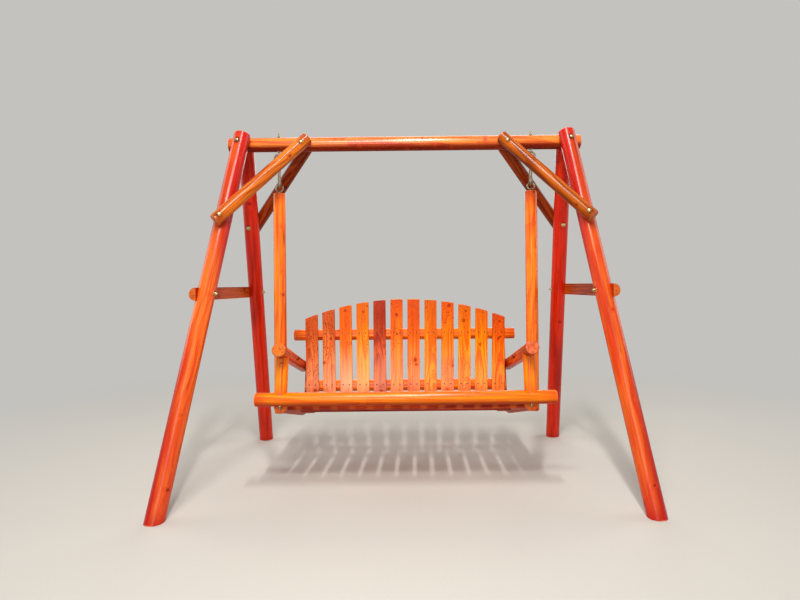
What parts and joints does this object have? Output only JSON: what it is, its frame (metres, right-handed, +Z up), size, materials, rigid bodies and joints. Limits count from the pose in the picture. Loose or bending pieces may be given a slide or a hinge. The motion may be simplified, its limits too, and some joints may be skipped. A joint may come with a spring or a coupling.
{
  "type": "swing chair",
  "caption": "Free-standing swing chair of stained turned logs: a splayed frame, a cross beam and a slatted bench hung from it on links.",
  "frame": {"origin": "on the ground, midway between the four feet", "axes": "+X along the beam, to the right as seen from the front, +Y to the back of the bench, +Z up"},
  "size_m": [2.0586, 1.272, 1.6865],
  "materials": {
    "stained_log": "glossy",
    "stained_board": "glossy",
    "dowel_wood": "matte",
    "plated_steel": "satin",
    "galvanised_steel": "satin",
    "nail_steel": "matte"
  },
  "bodies": {
    "frame": {"cross_brace_bolts": "plated_steel", "cross_brace_nuts": "plated_steel", "eye_bolt_nuts": "galvanised_steel", "front_left_knee_brace": "stained_log", "front_right_knee_brace": "stained_log", "knee_brace_bolts": "plated_steel", "knee_brace_nuts": "plated_steel", "left_cross_brace": "stained_log", "left_eye_bolt": "galvanised_steel", "left_front_leg": "stained_log", "left_rear_leg": "stained_log", "leg_top_bolts": "plated_steel", "leg_top_nuts": "plated_steel", "rear_left_knee_brace": "stained_log", "rear_right_knee_brace": "stained_log", "right_cross_brace": "stained_log", "right_eye_bolt": "galvanised_steel", "right_front_leg": "stained_log", "right_rear_leg": "stained_log", "top_beam": "stained_log"},
    "links": {"left_link": "galvanised_steel", "right_link": "galvanised_steel"},
    "bench": {"arm_support_screws": "plated_steel", "back_rail_screws": "plated_steel", "back_slat_01": "stained_board", "back_slat_02": "stained_board", "back_slat_03": "stained_board", "back_slat_04": "stained_board", "back_slat_05": "stained_board", "back_slat_06": "stained_board", "back_slat_07": "stained_board", "back_slat_08": "stained_board", "back_slat_09": "stained_board", "back_slat_10": "stained_board", "back_slat_11": "stained_board", "back_slat_12": "stained_board", "front_rail": "stained_log", "front_seat_bearer": "stained_log", "hanger_bolts": "plated_steel", "hanger_nuts": "plated_steel", "left_arm_support": "stained_log", "left_armrest": "stained_log", "left_hanging_post": "stained_log", "left_post_eye": "galvanised_steel", "left_side_rail": "stained_log", "left_upright": "stained_log", "lower_back_rail": "stained_log", "rear_seat_bearer": "stained_log", "right_arm_support": "stained_log", "right_armrest": "stained_log", "right_hanging_post": "stained_log", "right_post_eye": "galvanised_steel", "right_side_rail": "stained_log", "right_upright": "stained_log", "seat_slats": "stained_board", "side_rail_dowels": "dowel_wood", "slat_nails": "nail_steel", "upper_back_rail": "stained_log", "upright_bolts": "plated_steel", "upright_nuts": "plated_steel"}
  },
  "joints": [
    {"name": "swing", "type": "hinge", "parent": "frame", "child": "links", "pos_m": [0, 0, 1.5375], "axis": [1, 0, 0], "range_deg": [-25, 25]},
    {"name": "seat_tilt", "type": "hinge", "parent": "links", "child": "bench", "pos_m": [0, 0, 1.429], "axis": [1, 0, 0], "range_deg": [-15, 15]}
  ]
}
